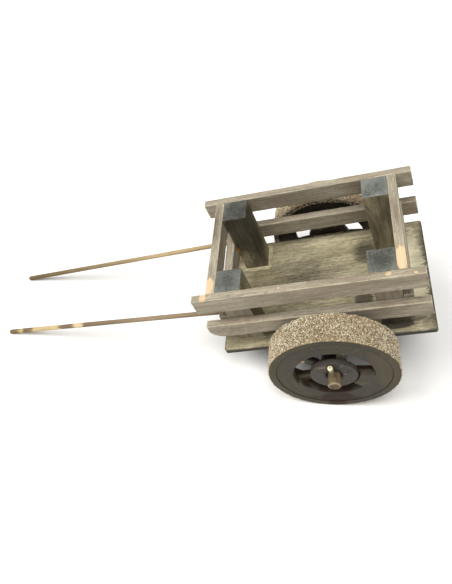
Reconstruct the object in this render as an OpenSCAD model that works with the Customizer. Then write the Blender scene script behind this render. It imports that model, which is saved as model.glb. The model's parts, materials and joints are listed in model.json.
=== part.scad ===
// Two-wheeled wooden mine cart, standing on its wheels and on the tips of its two pull shafts.
// The cart is drawn level, with its nose towards -X and the bed's top face at height 0, and then
// tipped forward as a whole until the shaft tips touch the ground that the wheels stand on.

/* [Posts] */
// Side of each square corner post
post_w = 30; // [24:0.5:36]
// Height of the posts above the bed
post_h = 100; // [85:1:130]
// Length over the outer faces of the posts
frame_l = 200; // [160:1:250]
// Width over the outer faces of the posts
frame_w = 136; // [110:1:170]

/* [Side rails] */
// Thickness of the side rails
rail_t = 9.4; // [6:0.2:14]
// Height of the upper side rails
upper_rail_h = 24.5; // [15:0.5:35]
// Height of the lower side rails
lower_rail_h = 23.5; // [15:0.5:24]
// Height of the lower side rails' top edge above the bed
lower_rail_top = 48; // [40:0.5:50]
// How far the side rails reach past the front posts
rail_front = 27; // [20:0.5:40]
// How far the side rails reach past the rear posts
rail_rear = 28.5; // [20:0.5:40]
// Length of the upswept nose under the front end of a lower rail
nose_l = 18; // [12:0.5:20]
// Height of that upswept nose
nose_h = 12.5; // [8:0.5:15]

/* [Cross boards] */
// Thickness of the cross boards
board_t = 10.5; // [7:0.5:14]
// Height of the upper cross boards
upper_board_h = 21.5; // [15:0.5:28]
// Height of the lower cross boards
lower_board_h = 24.5; // [15:0.5:28]
// Height of the lower cross boards' top edge above the bed
lower_board_top = 53; // [45:0.5:56]

/* [Bed] */
// Thickness of the bed
bed_t = 6; // [4:0.5:10]
// How far the bed reaches past the front posts
bed_front = 21; // [10:0.5:35]
// How far the bed reaches past the rear posts
bed_rear = 29.5; // [10:0.5:40]
// Ledge of the bed outside the left rails
bed_ledge_left = 4.6; // [1:0.2:8]
// Ledge of the bed outside the right rails
bed_ledge_right = 0.6; // [0.2:0.2:8]
// Radius of the bed's corners
bed_corner_r = 4; // [2:0.5:8]

/* [Shafts] */
// Diameter of the two pull shafts
shaft_d = 6; // [5:0.5:10]
// Length of a shaft from its shoulder at the cross board to its tip
shaft_l = 305; // [220:1:400]
// Angle by which each shaft leans inwards, towards its tip
shaft_toe = 1.7; // [0:0.1:3]
// Diameter of the tenon that holds a shaft
tenon_d = 5; // [4:0.5:5]
// Depth of the tenon's hole in the post
tenon_depth = 14; // [8:0.5:20]

/* [Axle] */
// Diameter of the wooden axle
axle_d = 15; // [10:0.5:18]
// Distance of the axle behind the middle of the posts
axle_x = 9.5; // [-10:0.5:20]
// Gap between the axle and the underside of the bed
axle_gap = 0.5; // [0.3:0.1:6]
// How far the axle stands out of a wheel
axle_end = 14; // [12:0.5:20]
// Length of an axle block along the cart
block_l = 40; // [30:1:60]
// Thickness of an axle block across the cart
block_t = 18; // [12:0.5:30]
// Wood of the block below the axle
block_foot = 6.5; // [4:0.5:12]

/* [Wheels] */
// Diameter over the grit tread
wheel_d = 151; // [120:1:180]
// Width of a wheel
wheel_w = 34.5; // [24:0.5:44]
// Thickness of the ring that carries the tread
tyre_t = 10; // [6:0.5:14]
// Thickness of the disc inside the ring
disc_t = 12; // [10:0.5:20]
// How far the disc lies back from the ring's face
disc_back = 0.6; // [0.2:0.2:2]
// Diameter of the sunk middle of the disc
sunk_d = 92; // [80:1:100]
// Depth of the sunk middle, which is also the thickness of the hub plate on it
sunk_depth = 5.4; // [3:0.2:8]
// Diameter of the hub plate
hub_d = 54; // [44:1:60]
// Diameter of the barrel that carries the wheel on the axle
barrel_d = 28; // [24:0.5:32]
// Radius at which the openings in the disc start
window_inner_r = 19; // [17:0.5:22]

/* [Linchpins] */
// Diameter of a linchpin
pin_d = 6; // [4:0.5:7]
// Height of a linchpin's top above the axle's centre line
pin_top = 24; // [16:0.5:40]
// Depth of a linchpin's foot below the axle's centre line
pin_foot = 11; // [10:0.5:20]

/* [Fits] */
// Radial clearance of a glued tenon, disc or axle in its seat
glue_gap = 0.05; // [0.02:0.01:0.1]
// Radial clearance of a wheel on the axle and of a linchpin in its hole
running_gap = 0.08; // [0.05:0.01:0.1]
// Side gap between a wheel and what stands beside it
side_gap = 0.4; // [0.3:0.1:1]
// Gap between the bed's wider ledge and a wheel
bed_gap = 2.5; // [1:0.5:6]

/* [Hidden] */
$fn = 96;
LEFT = -1;
RIGHT = 1;
FRONT = -1;
REAR = 1;
cut = 1;                 // how far a cutting shape reaches past what it cuts
tread_edge = 1.2;        // bevel on the rim of the tread
pin_bevel = 0.6;         // bevel on the ends of a linchpin
axle_bevel = 0.8;        // bevel on the ends of the axle
shoulder_gap = 0.3;      // gap under the shoulder of a leaning shaft

// Openings in the wheel disc, sawn by hand: start angle, end angle and outer radius
windows = [
    [-10, 53, 45],
    [74, 128, 45],
    [144, 188, 45],
    [206, 258, 42],
    [282, 308, 40]
];

half_l = frame_l / 2;
half_w = frame_w / 2;
rail_l = rail_front + frame_l + rail_rear;
wheel_r = wheel_d / 2;
shaft_r = shaft_d / 2;
tyre_inner_r = wheel_r - tyre_t;
axle_z = -bed_t - axle_gap - axle_d / 2;
wheel_inner_y = half_w + rail_t + max(bed_ledge_left, bed_ledge_right) + bed_gap;
wheel_outer_y = wheel_inner_y + wheel_w;
axle_half_l = wheel_outer_y + axle_end;
pin_y = wheel_outer_y + side_gap + pin_d / 2;

// The shafts lie at half the height of the lower front cross board, in the middle of the posts
shaft_x = -half_l - board_t - shoulder_gap;
shaft_y = half_w - post_w / 2;
shaft_z = lower_board_top - lower_board_h / 2;
tip_x = shaft_x - (shaft_l - shaft_r) * cos(shaft_toe);

// Tipping the cart by this angle sets the round shaft tips on the ground
reach_x = axle_x - tip_x;
reach_z = axle_z - shaft_z;
pitch = asin((wheel_r - shaft_r) / norm([reach_x, reach_z])) - atan2(reach_z, reach_x);

// The origin is on the ground, under the middle of the tipped cart's length
lift = wheel_r - axle_x * sin(pitch) - axle_z * cos(pitch);
tail_x = (half_l + bed_rear) * cos(pitch) + bed_t * sin(pitch);
nose_x = tip_x * cos(pitch) - shaft_z * sin(pitch) - shaft_r;
mid_x = (tail_x + nose_x) / 2;

// Sets what is drawn level on the ground, tipped onto the shaft tips
module standing() {
    translate([-mid_x, 0, lift])
        rotate([0, -pitch, 0])
            children();
}

// A board from its low corner, with the given size
module board(corner, size) {
    translate(corner)
        cube(size);
}

// Along a shaft: its axis runs forward from the shoulder on the front cross board
module along_shaft(side) {
    translate([shaft_x, side * shaft_y, shaft_z])
        rotate([0, 0, side * shaft_toe])
            rotate([0, -90, 0])
                children();
}

// A hole for a shaft's tenon, through the cross board and into the post
module tenon_hole(side) {
    along_shaft(side)
        translate([0, 0, -board_t - tenon_depth])
            cylinder(h = board_t + tenon_depth + 2 * cut, d = tenon_d + 2 * glue_gap);
}

// Along the axle's centre line, from the cart's middle towards the right
module along_axle() {
    translate([axle_x, 0, axle_z])
        rotate([-90, 0, 0])
            children();
}

// A wheel's own frame: its face is at height 0 and looks left on both sides of the cart
module at_wheel(side) {
    face_y = side == LEFT ? -wheel_outer_y : wheel_inner_y;
    translate([axle_x, face_y, axle_z])
        rotate([90, 0, 0])
            children();
}

module bed() {
    near = -half_w - rail_t - bed_ledge_left;
    far = half_w + rail_t + bed_ledge_right;
    front = -half_l - bed_front;
    rear = half_l + bed_rear;
    color("#a49a78")
        standing()
            union() {
                board([front + bed_corner_r, near, -bed_t],
                    [rear - front - 2 * bed_corner_r, far - near, bed_t]);
                board([front, near + bed_corner_r, -bed_t],
                    [rear - front, far - near - 2 * bed_corner_r, bed_t]);
                for (x = [front + bed_corner_r, rear - bed_corner_r])
                    for (y = [near + bed_corner_r, far - bed_corner_r])
                        translate([x, y, -bed_t])
                            cylinder(h = bed_t, r = bed_corner_r);
            }
}

module post(end, side) {
    x = end == FRONT ? -half_l : half_l - post_w;
    y = side == LEFT ? -half_w : half_w - post_w;
    color("#5a6162")
        standing()
            difference() {
                board([x, y, 0], [post_w, post_w, post_h]);
                if (end == FRONT)
                    tenon_hole(side);
            }
}

module upper_rail(side) {
    y = side == LEFT ? -half_w - rail_t : half_w;
    color("#988c78")
        standing()
            board([-half_l - rail_front, y, post_h - upper_rail_h], [rail_l, rail_t, upper_rail_h]);
}

// A lower rail's underside sweeps up at its nose, on an arc that leaves the underside smoothly
module lower_rail(side) {
    y = side == LEFT ? -half_w - rail_t : half_w;
    x = -half_l - rail_front;
    z = lower_rail_top - lower_rail_h;
    nose_r = (nose_l * nose_l + nose_h * nose_h) / (2 * nose_h);
    color("#93876f")
        standing()
            difference() {
                board([x, y, z], [rail_l, rail_t, lower_rail_h]);
                difference() {
                    board([x - cut, y - cut, z - cut], [nose_l + cut, rail_t + 2 * cut, nose_h + cut]);
                    translate([x + nose_l, y - 2 * cut, z + nose_r])
                        rotate([-90, 0, 0])
                            cylinder(h = rail_t + 4 * cut, r = nose_r);
                }
            }
}

module upper_board(end) {
    x = end == FRONT ? -half_l - board_t : half_l;
    color("#a08f74")
        standing()
            board([x, -half_w, post_h - upper_board_h], [board_t, frame_w, upper_board_h]);
}

module lower_board(end) {
    x = end == FRONT ? -half_l - board_t : half_l;
    color("#978568")
        standing()
            difference() {
                board([x, -half_w, lower_board_top - lower_board_h], [board_t, frame_w, lower_board_h]);
                if (end == FRONT)
                    for (side = [LEFT, RIGHT])
                        tenon_hole(side);
            }
}

module shaft(side) {
    tenon_l = board_t + tenon_depth - shoulder_gap;
    color("#a8865a")
        standing()
            along_shaft(side)
                rotate_extrude()
                    union() {
                        translate([0, -tenon_l])
                            square([tenon_d / 2, tenon_l]);
                        square([shaft_r, shaft_l - shaft_r]);
                        translate([0, shaft_l - shaft_r])
                            intersection() {
                                circle(r = shaft_r);
                                square(shaft_r);
                            }
                    }
}

module axle() {
    r = axle_d / 2;
    color("#8c7d64")
        standing()
            difference() {
                along_axle()
                    rotate_extrude()
                        polygon([
                            [0, -axle_half_l], [r - axle_bevel, -axle_half_l],
                            [r, axle_bevel - axle_half_l], [r, axle_half_l - axle_bevel],
                            [r - axle_bevel, axle_half_l], [0, axle_half_l]
                        ]);
                for (side = [LEFT, RIGHT])
                    translate([axle_x, side * pin_y, axle_z - r - cut])
                        cylinder(h = axle_d + 2 * cut, d = pin_d + 2 * running_gap);
            }
}

module axle_block(side) {
    outer = wheel_inner_y - side_gap;
    y = side == LEFT ? -outer : outer - block_t;
    depth = axle_gap + axle_d + block_foot;
    color("#7d725c")
        standing()
            difference() {
                board([axle_x - block_l / 2, y, -bed_t - depth], [block_l, block_t, depth]);
                along_axle()
                    translate([0, 0, y - cut])
                        cylinder(h = block_t + 2 * cut, d = axle_d + 2 * glue_gap);
            }
}

module tyre(side) {
    color("#a8977a")
        standing()
            at_wheel(side)
                rotate_extrude()
                    polygon([
                        [tyre_inner_r, 0], [wheel_r - tread_edge, 0], [wheel_r, -tread_edge],
                        [wheel_r, tread_edge - wheel_w], [wheel_r - tread_edge, -wheel_w],
                        [tyre_inner_r, -wheel_w]
                    ]);
}

// One opening in the disc: a piece of a ring between two straight saw cuts
module window(from, to, outer_r) {
    far_r = 2 * outer_r;
    middle = (from + to) / 2;
    translate([0, 0, -disc_back - disc_t - cut])
        intersection() {
            difference() {
                cylinder(h = disc_t + 2 * cut, r = outer_r);
                translate([0, 0, -cut])
                    cylinder(h = disc_t + 4 * cut, r = window_inner_r);
            }
            linear_extrude(height = disc_t + 2 * cut)
                polygon([
                    [0, 0],
                    far_r * [cos(from), sin(from)],
                    far_r * [cos(middle), sin(middle)],
                    far_r * [cos(to), sin(to)]
                ]);
        }
}

module wheel_disc(side) {
    sunk_z = -disc_back - sunk_depth;
    color("#59584c")
        standing()
            at_wheel(side)
                difference() {
                    union() {
                        translate([0, 0, -disc_back - disc_t])
                            cylinder(h = disc_t, r = tyre_inner_r - glue_gap);
                        translate([0, 0, -wheel_w])
                            cylinder(h = wheel_w - disc_back - disc_t / 2, d = barrel_d);
                    }
                    translate([0, 0, sunk_z])
                        cylinder(h = sunk_depth + cut, d = sunk_d);
                    for (w = windows)
                        window(w[0], w[1], w[2]);
                    translate([0, 0, -wheel_w - cut])
                        cylinder(h = wheel_w + 2 * cut, d = axle_d + 2 * running_gap);
                }
}

// The hub plate lies in the sunk middle of the disc, level with the ring's face
module hub_plate(side) {
    color("#5f5a60")
        standing()
            at_wheel(side)
                translate([0, 0, -disc_back - sunk_depth])
                    difference() {
                        cylinder(h = sunk_depth + disc_back, d = hub_d);
                        translate([0, 0, -cut])
                            cylinder(h = sunk_depth + disc_back + 2 * cut, d = axle_d + 2 * running_gap);
                    }
}

module linchpin(side) {
    r = pin_d / 2;
    color("#d8cfa0")
        standing()
            translate([axle_x, side * pin_y, axle_z])
                rotate_extrude()
                    polygon([
                        [0, -pin_foot], [r - pin_bevel, -pin_foot], [r, pin_bevel - pin_foot],
                        [r, pin_top - pin_bevel], [r - pin_bevel, pin_top], [0, pin_top]
                    ]);
}

bed();
post(FRONT, LEFT);  // post_front_left
post(FRONT, RIGHT);  // post_front_right
post(REAR, LEFT);  // post_rear_left
post(REAR, RIGHT);  // post_rear_right
upper_rail(LEFT);  // upper_rail_left
upper_rail(RIGHT);  // upper_rail_right
lower_rail(LEFT);  // lower_rail_left
lower_rail(RIGHT);  // lower_rail_right
upper_board(FRONT);  // upper_board_front
upper_board(REAR);  // upper_board_rear
lower_board(FRONT);  // lower_board_front
lower_board(REAR);  // lower_board_rear
shaft(LEFT);  // shaft_left
shaft(RIGHT);  // shaft_right
axle();
axle_block(LEFT);  // axle_block_left
axle_block(RIGHT);  // axle_block_right
tyre(LEFT);  // tyre_left
tyre(RIGHT);  // tyre_right
wheel_disc(LEFT);  // wheel_disc_left
wheel_disc(RIGHT);  // wheel_disc_right
hub_plate(LEFT);  // hub_plate_left
hub_plate(RIGHT);  // hub_plate_right
linchpin(LEFT);  // linchpin_left
linchpin(RIGHT);  // linchpin_right
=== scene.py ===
"""Worn boards, gritty wheels and a studio for a small wooden mine cart that stands on its shaft tips."""

import json
import math
from dataclasses import dataclass

import bmesh
import bpy
from bpy.props import FloatProperty, FloatVectorProperty, IntProperty, PointerProperty
from mathutils import Matrix, Vector, noise
from mathutils.kdtree import KDTree


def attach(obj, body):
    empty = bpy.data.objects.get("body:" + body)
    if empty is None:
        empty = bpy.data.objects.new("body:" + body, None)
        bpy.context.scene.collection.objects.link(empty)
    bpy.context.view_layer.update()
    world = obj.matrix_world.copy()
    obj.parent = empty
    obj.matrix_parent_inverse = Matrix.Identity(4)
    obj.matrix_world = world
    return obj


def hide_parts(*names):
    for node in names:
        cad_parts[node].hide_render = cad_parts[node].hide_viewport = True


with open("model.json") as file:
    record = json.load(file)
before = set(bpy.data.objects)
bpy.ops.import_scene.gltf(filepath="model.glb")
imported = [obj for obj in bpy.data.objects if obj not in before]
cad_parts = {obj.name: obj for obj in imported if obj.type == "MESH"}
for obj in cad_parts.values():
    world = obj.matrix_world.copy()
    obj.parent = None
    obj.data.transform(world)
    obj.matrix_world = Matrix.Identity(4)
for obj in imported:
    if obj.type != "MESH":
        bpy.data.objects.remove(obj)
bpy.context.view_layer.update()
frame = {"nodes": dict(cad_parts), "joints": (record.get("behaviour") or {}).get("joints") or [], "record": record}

bl_info = {
    "name": "Wooden Mine Cart",
    "version": (1, 0, 0),
    "blender": (4, 5, 0),
    "location": "3D View > Sidebar > Mine Cart",
    "description": "Builds the worn boards, gritty wheels and studio of a small wooden mine cart",
    "category": "Add Mesh",
}

MM = 0.001
SIDES = ("left", "right")
# An edge that bends more than this counts as sharp, on sawn wood and on turned wood
SAWN_CREASE = math.radians(35)
TURNED_CREASE = math.radians(25)
# An edge that bends more than this isn't shaded smooth
SHADING_CREASE = math.radians(50)
# Edge distance of a point that is far from every edge, in millimetres
FAR_FROM_EDGE = 10.0
FLOAT = "NodeSocketFloat"
VECTOR = "NodeSocketVector"


def joint(name):
    """One joint of the packed record."""
    return next(entry for entry in frame["joints"] if entry["name"] == name)


# The cart is built level and then tipped onto its shaft tips. A linchpin lifts along the cart's own upright.
CART_UP = Vector(joint("linchpin_left_lift")["axis"])
PITCH = math.atan2(-CART_UP.x, CART_UP.z)
TIP = Matrix.Rotation(-PITCH, 4, "Y")
LEVEL = TIP.inverted()
AXLE = LEVEL @ Vector(joint("wheel_left_spin")["pos_m"])


def level_box(node):
    """Lowest and highest corner of a CAD node, measured along the level cart's own sides."""
    points = [LEVEL @ vertex.co for vertex in frame["nodes"][node].data.vertices]
    low = Vector(min(point[axis] for point in points) for axis in range(3))
    high = Vector(max(point[axis] for point in points) for axis in range(3))
    return low, high


BED_LOW, BED_HIGH = level_box("bed")


def sight(red, green, blue):
    """A colour as the eye reads it, 0 to 255, turned into the linear light that shaders work in."""
    def linear(value):
        value /= 255
        return value / 12.92 if value <= 0.04045 else ((value + 0.055) / 1.055) ** 2.4
    return (linear(red), linear(green), linear(blue), 1.0)


def colour_property(name, description, *rgb):
    return FloatVectorProperty(
        name=name, description=description, subtype="COLOR", size=4, min=0, max=1, default=sight(*rgb)
    )


def length_property(name, description, millimetres, **limits):
    return FloatProperty(
        name=name, description=description, default=millimetres * MM,
        subtype="DISTANCE", unit="LENGTH", **limits,
    )


def angle_property(name, description, degrees):
    return FloatProperty(
        name=name, description=description, default=math.radians(degrees), subtype="ANGLE", unit="ROTATION"
    )


class CartTimber(bpy.types.PropertyGroup):
    """Colours of the cart's wood and paint"""

    board: colour_property("Boards", "Weathered rails and cross boards", 160, 151, 133)
    bed: colour_property("Bed", "Grey-yellow wood of the bed", 161, 153, 126)
    bare: colour_property("Bare wood", "Wood where the stain has worn off", 208, 184, 148)
    slate: colour_property("Slate paint", "Thin paint on the posts' tops", 94, 97, 92)
    post: colour_property("Post stain", "Olive-grey stain on the posts' sides", 148, 138, 112)
    wheel: colour_property("Wheel stain", "Dark stain on the wheel faces", 65, 61, 52)
    hub: colour_property("Hub stain", "Grey stain on the hub plates", 68, 63, 56)
    glue: colour_property("Glue", "Dried glue squeezed out of the joints", 184, 174, 140)


class CartWear(bpy.types.PropertyGroup):
    """How worn the cart's wood is"""

    edge_radius: length_property("Edge radius", "How far the boards' edges are rubbed", 0.8, min=0.0002)
    dents: length_property("Dents", "Depth of the dents in the boards' faces", 0.22, min=0)
    grain_step: length_property("Mesh step", "Distance between the mesh's lines on a board", 1.6, min=0.0008)


class CartGrit(bpy.types.PropertyGroup):
    """The sand grit on the treads"""

    grain: length_property("Grain size", "Mean radius of a grain", 0.66, min=0.0003)
    spacing: length_property("Spacing", "Least distance between two grains", 1.02, min=0.0008)
    seed: IntProperty(name="Seed", description="Seed of the grains' places and sizes", default=7, min=0)


class CartStudio(bpy.types.PropertyGroup):
    """Camera, lights and floor"""

    azimuth: angle_property("Azimuth", "Direction of the view, from along +Y towards -X", 5.82)
    elevation: angle_property("Elevation", "Height of the camera above the horizon", 47.79)
    roll: angle_property("Roll", "Turn of the camera about its own line of sight", -1.99)
    camera_place: FloatVectorProperty(
        name="Camera", description="Place of the camera",
        default=(0.0833, -0.4650, 0.7314), subtype="TRANSLATION",
    )
    focal_length: FloatProperty(
        name="Focal length", description="In millimetres, for a sensor of 36 mm on the long side",
        default=38.84,
    )
    left_power: FloatProperty(
        name="Left light", description="Strength of the light from the left", default=2.0
    )
    front_power: FloatProperty(
        name="Front light", description="Strength of the light from above the front", default=2.05
    )
    softness: angle_property("Softness", "How wide the lights look, as an angle", 32)
    sky: FloatProperty(name="Sky", description="Strength of the light from all round", default=0.28)


# ---------------------------------------------------------------------------
# Shader building blocks
# ---------------------------------------------------------------------------


def put(tree, kind, settings=None, **inputs):
    """Adds a node, fills its sockets with values or links, and returns the node."""
    node = tree.nodes.new(kind)
    for name, value in (settings or {}).items():
        setattr(node, name, value)
    for name, value in inputs.items():
        plug(tree, node, name.replace("_", " "), value)
    return node


def plug(tree, node, name, value):
    """Fills one socket, by its name or its number, with a value or a link."""
    socket = node.inputs[int(name)] if name.isdigit() else node.inputs[name]
    if isinstance(value, bpy.types.NodeSocket):
        tree.links.new(value, socket)
    else:
        socket.default_value = value


def sums(tree, operation, first, second=0.0, third=None):
    """One Math node; returns its result."""
    node = tree.nodes.new("ShaderNodeMath")
    node.operation = operation
    for number, value in enumerate((first, second, third)):
        if value is not None:
            plug(tree, node, str(number), value)
    return node.outputs[0]


def stretched(tree, place, factors):
    """The place, stretched along each axis, so that a pattern runs with the grain."""
    node = tree.nodes.new("ShaderNodeVectorMath")
    node.operation = "MULTIPLY"
    plug(tree, node, "0", place)
    plug(tree, node, "1", factors)
    return node.outputs[0]


def cloud(tree, place, scale, detail=4.0, rough=0.55, twist=0.0):
    """A noise pattern between 0 and 1."""
    node = put(
        tree, "ShaderNodeTexNoise",
        Vector=place, Scale=scale, Detail=detail, Roughness=rough, Distortion=twist,
    )
    return node.outputs["Fac"]


def ease(tree, value, start, end, low=0.0, high=1.0):
    """Runs smoothly from low to high while the value runs from start to end."""
    node = tree.nodes.new("ShaderNodeMapRange")
    node.interpolation_type = "SMOOTHSTEP"
    for number, entry in enumerate((value, start, end, low, high)):
        plug(tree, node, str(number), entry)
    return node.outputs[0]


def blend(tree, share, under, over, mode="MIX"):
    """Lays one colour over another."""
    node = tree.nodes.new("ShaderNodeMix")
    node.data_type = "RGBA"
    node.blend_type = mode
    colours = [socket for socket in node.inputs if socket.type == "RGBA"]
    plug(tree, node, "0", share)
    for socket, value in zip(colours, (under, over)):
        if isinstance(value, bpy.types.NodeSocket):
            tree.links.new(value, socket)
        else:
            socket.default_value = value
    return next(socket for socket in node.outputs if socket.type == "RGBA")


def ladder(tree, value, steps):
    """A colour ramp from (position, colour) steps."""
    node = tree.nodes.new("ShaderNodeValToRGB")
    ramp = node.color_ramp
    while len(ramp.elements) < len(steps):
        ramp.elements.new(0.5)
    for element, (position, colour) in zip(ramp.elements, steps):
        element.position = position
        element.color = colour
    tree.links.new(value, node.inputs[0])
    return node.outputs[0]


def effect(name, inputs, outputs):
    """An empty shader node group; returns the tree, its input sockets and its output node."""
    tree = bpy.data.node_groups.new(name, "ShaderNodeTree")
    for label, kind, default in inputs:
        socket = tree.interface.new_socket(name=label, in_out="INPUT", socket_type=kind)
        if default is not None:
            socket.default_value = default
    for label in outputs:
        tree.interface.new_socket(name=label, in_out="OUTPUT", socket_type=FLOAT)
    source = tree.nodes.new("NodeGroupInput")
    return tree, source.outputs, tree.nodes.new("NodeGroupOutput")


def placed(tree, group, **inputs):
    """Places a node group in a material; returns its outputs."""
    return put(tree, "ShaderNodeGroup", {"node_tree": bpy.data.node_groups[group]}, **inputs).outputs


def make_grain_effect():
    """Grain that runs along the first axis: fine fibres, broad bands and short dark pores."""
    tree, given, result = effect(
        "Wood grain", [("Place", VECTOR, None), ("Fineness", FLOAT, 1.0)], ["Tone", "Relief", "Pores"]
    )
    place, fineness = given["Place"], given["Fineness"]
    bands = cloud(tree, stretched(tree, place, (0.008, 0.09, 0.09)), 1.0, 3.0, 0.55, 0.8)
    fibres = cloud(tree, stretched(tree, place, (0.035, 0.8, 0.8)), fineness, 5.0, 0.66, 0.3)
    pores = cloud(tree, stretched(tree, place, (0.16, 0.85, 0.85)), fineness, 4.0, 0.68, 0.5)
    mixed = sums(tree, "MULTIPLY_ADD", bands, 0.42, sums(tree, "MULTIPLY", fibres, 0.58))
    relief = sums(tree, "MULTIPLY_ADD", fibres, 0.5, sums(tree, "MULTIPLY", pores, -0.5))
    plug(tree, result, "Tone", ease(tree, mixed, 0.36, 0.64))
    plug(tree, result, "Relief", relief)
    plug(tree, result, "Pores", ease(tree, pores, 0.51, 0.64))


def make_rub_effect():
    """The ragged strip along an edge where paint or stain has been rubbed off."""
    tree, given, result = effect(
        "Edge rub",
        [("Place", VECTOR, None), ("Edge", FLOAT, FAR_FROM_EDGE), ("Width", FLOAT, 1.5),
         ("Raggedness", FLOAT, 2.0)],
        ["Mask"],
    )
    patches = cloud(tree, stretched(tree, given["Place"], (0.035, 0.12, 0.12)), 1.0, 4.0, 0.6)
    nicks = cloud(tree, given["Place"], 0.45, 3.0, 0.6)
    both = sums(tree, "MULTIPLY_ADD", patches, 0.65, sums(tree, "MULTIPLY", nicks, 0.35))
    swing = sums(tree, "MULTIPLY", given["Raggedness"], 4.0)
    ragged = sums(tree, "MULTIPLY", sums(tree, "SUBTRACT", 0.5, both), swing)
    reach = sums(tree, "ADD", given["Edge"], ragged)
    unworn = ease(tree, reach, sums(tree, "MULTIPLY", given["Width"], 0.5), given["Width"])
    plug(tree, result, "Mask", sums(tree, "SUBTRACT", 1.0, unworn))


def make_scuff_effect():
    """Thin scratches in two slanting directions, with a few wider scrapes."""
    tree, given, result = effect("Scuffs", [("Place", VECTOR, None), ("Amount", FLOAT, 0.5)], ["Mask"])
    place = given["Place"]
    marks = []
    for angle, across, threshold in ((0.6, 1.1, 0.72), (-0.35, 0.8, 0.73), (1.9, 0.35, 0.72)):
        turned = put(tree, "ShaderNodeVectorRotate", {"rotation_type": "Z_AXIS"}, Vector=place, Angle=angle)
        lines = cloud(tree, stretched(tree, turned.outputs[0], (0.03, across, 0.4)), 1.0, 3.0, 0.5, 0.2)
        start = sums(tree, "MULTIPLY_ADD", given["Amount"], -0.16, threshold)
        marks.append(ease(tree, lines, start, sums(tree, "ADD", start, 0.05)))
    most = sums(tree, "MAXIMUM", sums(tree, "MAXIMUM", marks[0], marks[1]), marks[2])
    plug(tree, result, "Mask", most)


def make_grime_effect():
    """Slow patches of dirt and faded stain."""
    tree, given, result = effect("Grime", [("Place", VECTOR, None), ("Size", FLOAT, 1.0)], ["Mask"])
    wide = cloud(tree, stretched(tree, given["Place"], (0.012, 0.03, 0.03)), given["Size"], 4.0, 0.6, 0.5)
    plug(tree, result, "Mask", ease(tree, wide, 0.38, 0.66))


def own(tree, name):
    """A value that a piece carries on its own points."""
    node = tree.nodes.new("ShaderNodeAttribute")
    node.attribute_name = name
    return node


def own_patch(tree, name, place, raggedness):
    """A patch that a piece carries on its own points, with its outline torn along the grain."""
    torn = cloud(tree, stretched(tree, place, (0.16, 0.42, 0.42)), 1.0, 5.0, 0.7)
    strength = own(tree, name).outputs["Fac"]
    swing = sums(tree, "MULTIPLY", ease(tree, strength, 0.0, 0.15), 1.6 * raggedness)
    shift = sums(tree, "MULTIPLY", sums(tree, "SUBTRACT", torn, 0.5), swing)
    return sums(tree, "ADD", strength, shift)


@dataclass
class Timber:
    """What sets one kind of wood apart from another. Lengths are in millimetres."""

    colour: tuple
    light: float = 1.3
    dark: float = 0.62
    fineness: float = 1.0
    rub: tuple = None
    rub_width: float = 1.6
    rub_ragged: float = 1.6
    rubbing: float = 0.8
    scuff: tuple = None
    scuffing: float = 0.0
    grime: tuple = None
    griming: float = 0.5
    bare: tuple = None
    # Colour of the dark patches: real stains, and painted shade and shadows where a piece sits in shade
    stain: tuple = None
    pores: float = 0.35
    rough: float = 0.72
    relief: float = 0.22


def shade(colour, factor):
    """A colour made lighter or darker."""
    return (colour[0] * factor, colour[1] * factor, colour[2] * factor, 1.0)


def new_material(name, shine):
    """An empty material; returns it, its tree and its shader."""
    material = bpy.data.materials.new(name)
    material.use_nodes = True
    shader = material.node_tree.nodes["Principled BSDF"]
    shader.inputs["Specular IOR Level"].default_value = shine
    return material, material.node_tree, shader


def emboss(tree, shader, strength, depth, height):
    """Lets a pattern stand out of the surface by a depth in millimetres."""
    bump = put(tree, "ShaderNodeBump", Strength=strength, Distance=depth * MM, Height=height)
    plug(tree, shader, "Normal", bump.outputs[0])


def timber_material(name, wood):
    """Wood with its grain along the piece's first axis, rubbed edges, scuffs, grime, bare patches, and dark
    patches that are stains and painted shade.
    """
    material, tree, shader = new_material(name, 0.16)
    place = own(tree, "grain").outputs["Vector"]
    edge = own(tree, "edge").outputs["Fac"]
    grain = placed(tree, "Wood grain", Place=place, Fineness=wood.fineness)
    tone = grain["Tone"]
    colour = ladder(tree, tone, [
        (0.0, shade(wood.colour, wood.dark)), (0.5, wood.colour), (1.0, shade(wood.colour, wood.light)),
    ])
    colour = blend(tree, sums(tree, "MULTIPLY", grain["Pores"], wood.pores), colour, shade(wood.colour, 0.3))
    if wood.grime:
        mask = placed(tree, "Grime", Place=place, Size=1.0)["Mask"]
        colour = blend(tree, sums(tree, "MULTIPLY", mask, wood.griming), colour, wood.grime)
    height = grain["Relief"]
    if wood.scuff:
        marks = placed(tree, "Scuffs", Place=place, Amount=wood.scuffing)["Mask"]
        colour = blend(tree, sums(tree, "MULTIPLY", marks, 0.7), colour, wood.scuff)
        height = sums(tree, "MULTIPLY_ADD", marks, -0.5, height)
    if wood.rub:
        width, raggedness = wood.rub_width, wood.rub_ragged
        mask = placed(tree, "Edge rub", Place=place, Edge=edge, Width=width, Raggedness=raggedness)["Mask"]
        colour = blend(tree, sums(tree, "MULTIPLY", mask, wood.rubbing), colour, wood.rub)
    # Dark patches from the carried stain value: real stains, and painted shade and shadows
    if wood.stain:
        mask = ease(tree, own_patch(tree, "stain", place, 0.45), 0.1, 0.75, 0.0, 0.88)
        stained = blend(tree, tone, shade(wood.stain, 0.6), shade(wood.stain, 1.5))
        colour = blend(tree, mask, colour, stained)
    if wood.bare:
        patch = own_patch(tree, "bare", place, 0.6)
        colour = blend(tree, ease(tree, patch, 0.12, 0.3, 0.0, 0.45), colour, shade(wood.bare, 0.55))
        fresh = blend(tree, tone, shade(wood.bare, 0.8), shade(wood.bare, 1.12))
        colour = blend(tree, ease(tree, patch, 0.25, 0.42), colour, fresh)
    plug(tree, shader, "Base Color", colour)
    plug(tree, shader, "Roughness", ease(tree, tone, 0.0, 1.0, wood.rough - 0.08, wood.rough + 0.1))
    emboss(tree, shader, 0.6, wood.relief, height)
    return material


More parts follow.
